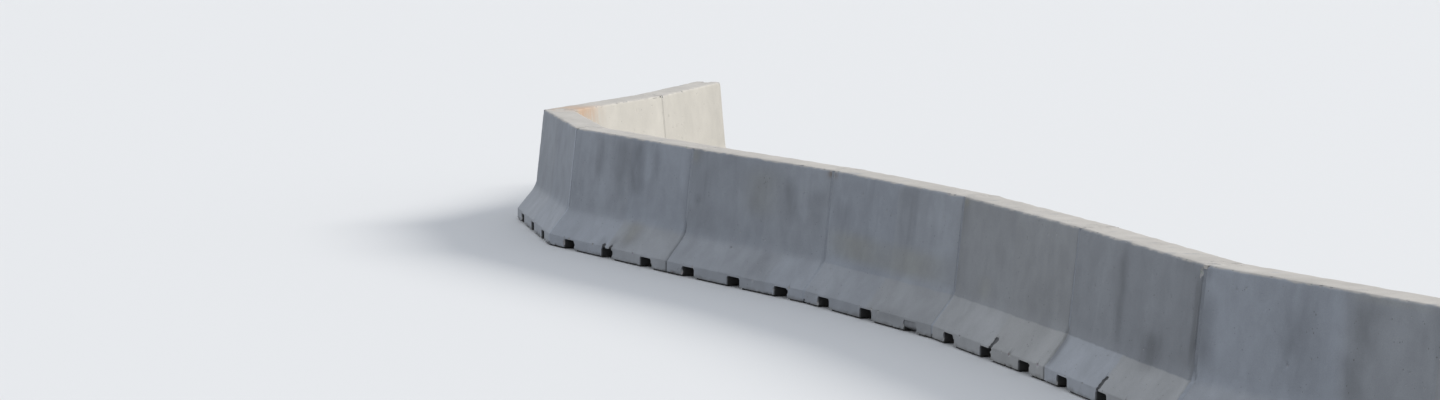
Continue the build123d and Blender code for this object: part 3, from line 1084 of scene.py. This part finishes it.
def plug(name, k, x):
    """Dirt that blocks a slot of unit k on the road side, up to its roof."""
    floor, front, thick = 0.004, -HALF_BASE + 0.004, 0.13

    def surface(along, up, outer):
        across = (SLOT_HALF + 0.002) * (2 * along - 1)
        z = floor + (SLOT_TOP + 0.002 - floor) * up
        y = front
        if outer:
            y += 0.003 * (1 + noise.noise(Vector((across * 14.0, z * 14.0, k))))
            y += 0.060 * max(0.0, 1.0 - z / 0.030)
        else:
            y += thick
        return x + across, y, z

    bm = bmesh.new()
    slab(bm, 25, 13, surface)
    new_piece(name, bm, unit_matrix(k), (HEAP_DIRT_SHADED_BELOW,))


for j in PACKED:
    fill_joint(j)
for j in range(1, UNITS):
    dust_cover(j)
plug("slot_dirt", 6, SLOT_X[2])

# ---------------------------------------------------------------- steel and rubber

ZINC, ZINC_RUST = (0.36, 0.37, 0.38), (0.26, 0.13, 0.06)
BARE_STEEL, DEEP_RUST = (0.22, 0.20, 0.19), (0.21, 0.10, 0.05)
PALE_DUST, GREY_DUST = (0.52, 0.505, 0.475), (0.42, 0.405, 0.375)
BLACK_RUBBER, DUSTY_RUBBER = (0.022, 0.022, 0.023), (0.120, 0.112, 0.100)
NO_DUST = 9.0  # a height above the whole row


def steel(name, bright, rusty, rust_low, rust_high, dust_height=NO_DUST):
    """Steel that rusts in patches; above dust_height it carries pale concrete dust."""
    g = material_graph(name)
    p = g.place()
    spangle = g.cells(p, 60.0)["Color"]
    patches = g.noise(p, 14.0, 5.0, 0.65, 0.3)
    specks = g.noise(p, 120.0, 3.0, 0.7)
    clean = g.scale(bright, g.ramp(spangle, 0.0, 1.0, 0.85, 1.12))
    rust = g.mix(specks, rusty, (rusty[0] * 0.45, rusty[1] * 0.42, rusty[2] * 0.40))
    amount = g.ramp(g.plus(patches, g.times(specks, 0.18)), rust_low, rust_high)
    colour = g.mix(amount, clean, rust)
    rough = g.ramp(amount, 0.0, 1.0, 0.48, 0.90)
    metal = g.ramp(amount, 0.0, 1.0, 0.85, 0.05)
    dusty = g.ramp(g.split(p)[2], dust_height - 0.004, dust_height)
    dusty = g.times(dusty, g.ramp(specks, 0.30, 0.45, 0.85, 1.0))
    colour = g.mix(dusty, colour, g.mix(patches, PALE_DUST, GREY_DUST))
    rough = g.math("MAXIMUM", rough, g.times(dusty, 0.93))
    metal = g.times(metal, g.minus(1.0, dusty))
    relief = g.bump(g.plus(g.times(amount, 0.5), g.times(specks, 0.5)), 0.5, 0.0015)
    return g.finish(Base_Color=colour, Roughness=rough, Metallic=metal, Normal=relief)


def rubber(name):
    """Black rubber under dust."""
    g = material_graph(name)
    p = g.place()
    dust = g.noise(p, 24.0, 4.0, 0.65)
    crumbs = g.cells(p, 210.0)["Distance"]
    colour = g.mix(g.ramp(dust, 0.42, 0.75), BLACK_RUBBER, DUSTY_RUBBER)
    colour = g.scale(colour, g.ramp(crumbs, 0.1, 0.6, 0.8, 1.15))
    rough = g.spread(dust, 0.75, 0.95)
    return g.finish(Base_Color=colour, Roughness=rough, Normal=g.bump(crumbs, 0.5, 0.002))


FINISHES = {
    "joint_key": steel("galvanised_steel", ZINC, ZINC_RUST, 0.52, 0.66, TOP - 0.030),
    "tie_bar": steel("rusty_bar_steel", BARE_STEEL, DEEP_RUST, 0.38, 0.58),
    "bearing_strips": rubber("dusty_rubber"),
}
for name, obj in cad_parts.items():
    for start, material in FINISHES.items():
        if name.startswith(start):
            for place in obj.material_slots:
                place.material = material

# ---------------------------------------------------------------- floor, light and camera

FLOOR_REACH = 140.0
FLOOR_SEEN, FLOOR_LIT = (0.74, 0.745, 0.75), (0.36, 0.36, 0.36)
SKY_COLOUR, SKY_STRENGTH = (0.93, 0.98, 1.06), 0.70
SKY_SEEN = (0.86, 0.87, 0.88)
SUN_COLOUR, SUN_STRENGTH = (1.0, 0.965, 0.91), 2.4
SUN_WIDTH, SUN_AZIMUTH, SUN_ELEVATION = math.radians(22), math.radians(100), math.radians(32)
CAMERA_PLACE = (25.8725, -10.1768, 2.837)
CAMERA_HEADING, CAMERA_PITCH = math.radians(71.342), math.radians(4.730)
CAMERA_ROLL = math.radians(0.528)
CAMERA_LENS, CAMERA_SENSOR = 110.61, 36.0
CAMERA_REACH = 500.0


def make_floor():
    r = FLOOR_REACH
    mesh = bpy.data.meshes.new("floor")
    mesh.from_pydata([(-r, -r, 0), (r, -r, 0), (r, r, 0), (-r, r, 0)], [], [(0, 1, 2, 3)])
    g = material_graph("pale_floor")
    colour = g.mix(g.seen(), FLOOR_LIT, FLOOR_SEEN)
    mesh.materials.append(g.finish(Base_Color=colour, Roughness=1.0))
    add_object("floor", mesh)


def make_sky():
    """Soft blue-grey light from all sides, with a pale backdrop for the camera."""
    world = bpy.data.worlds.new("soft_sky")
    bpy.context.scene.world = world
    g = Graph(world)
    inputs = {"Color": SKY_COLOUR, "Strength": SKY_STRENGTH}
    sky = g.node("ShaderNodeBackground", inputs).outputs[0]
    shown = g.node("ShaderNodeBackground", {"Color": SKY_SEEN}).outputs[0]
    pick = g.node("ShaderNodeMixShader", {0: g.seen(), 1: sky, 2: shown}).outputs[0]
    g.node("ShaderNodeOutputWorld", {"Surface": pick})


def make_sun():
    """Soft low sun from behind the row, so that its road side lies in open shade."""
    lamp = bpy.data.lights.new("sun", "SUN")
    lamp.energy = SUN_STRENGTH
    lamp.angle = SUN_WIDTH
    lamp.color = SUN_COLOUR
    sun = add_object("sun", lamp)
    towards = Vector((math.cos(SUN_AZIMUTH), math.sin(SUN_AZIMUTH), math.tan(SUN_ELEVATION)))
    sun.rotation_euler = towards.to_track_quat("Z", "Y").to_euler()


def make_camera():
    """Camera of the photograph: place, heading, pitch and roll in the row's frame."""
    forward = Vector((0, math.cos(CAMERA_PITCH), -math.sin(CAMERA_PITCH)))
    level_right = Vector((1, 0, 0))
    level_up = Vector((0, math.sin(CAMERA_PITCH), math.cos(CAMERA_PITCH)))
    right = level_right * math.cos(CAMERA_ROLL) + level_up * math.sin(CAMERA_ROLL)
    up = level_up * math.cos(CAMERA_ROLL) - level_right * math.sin(CAMERA_ROLL)
    turn = Matrix((right, up, -forward)).transposed().to_4x4()
    data = bpy.data.cameras.new("camera")
    data.sensor_fit = "HORIZONTAL"
    data.sensor_width = CAMERA_SENSOR
    data.lens = CAMERA_LENS
    data.clip_end = CAMERA_REACH
    camera = add_object("camera", data)
    place = Matrix.Translation(CAMERA_PLACE) @ Matrix.Rotation(CAMERA_HEADING, 4, "Z")
    camera.matrix_world = place @ turn
    bpy.context.scene.camera = camera


make_floor()
make_sky()
make_sun()
make_camera()
bpy.context.scene.view_settings.view_transform = "Standard"
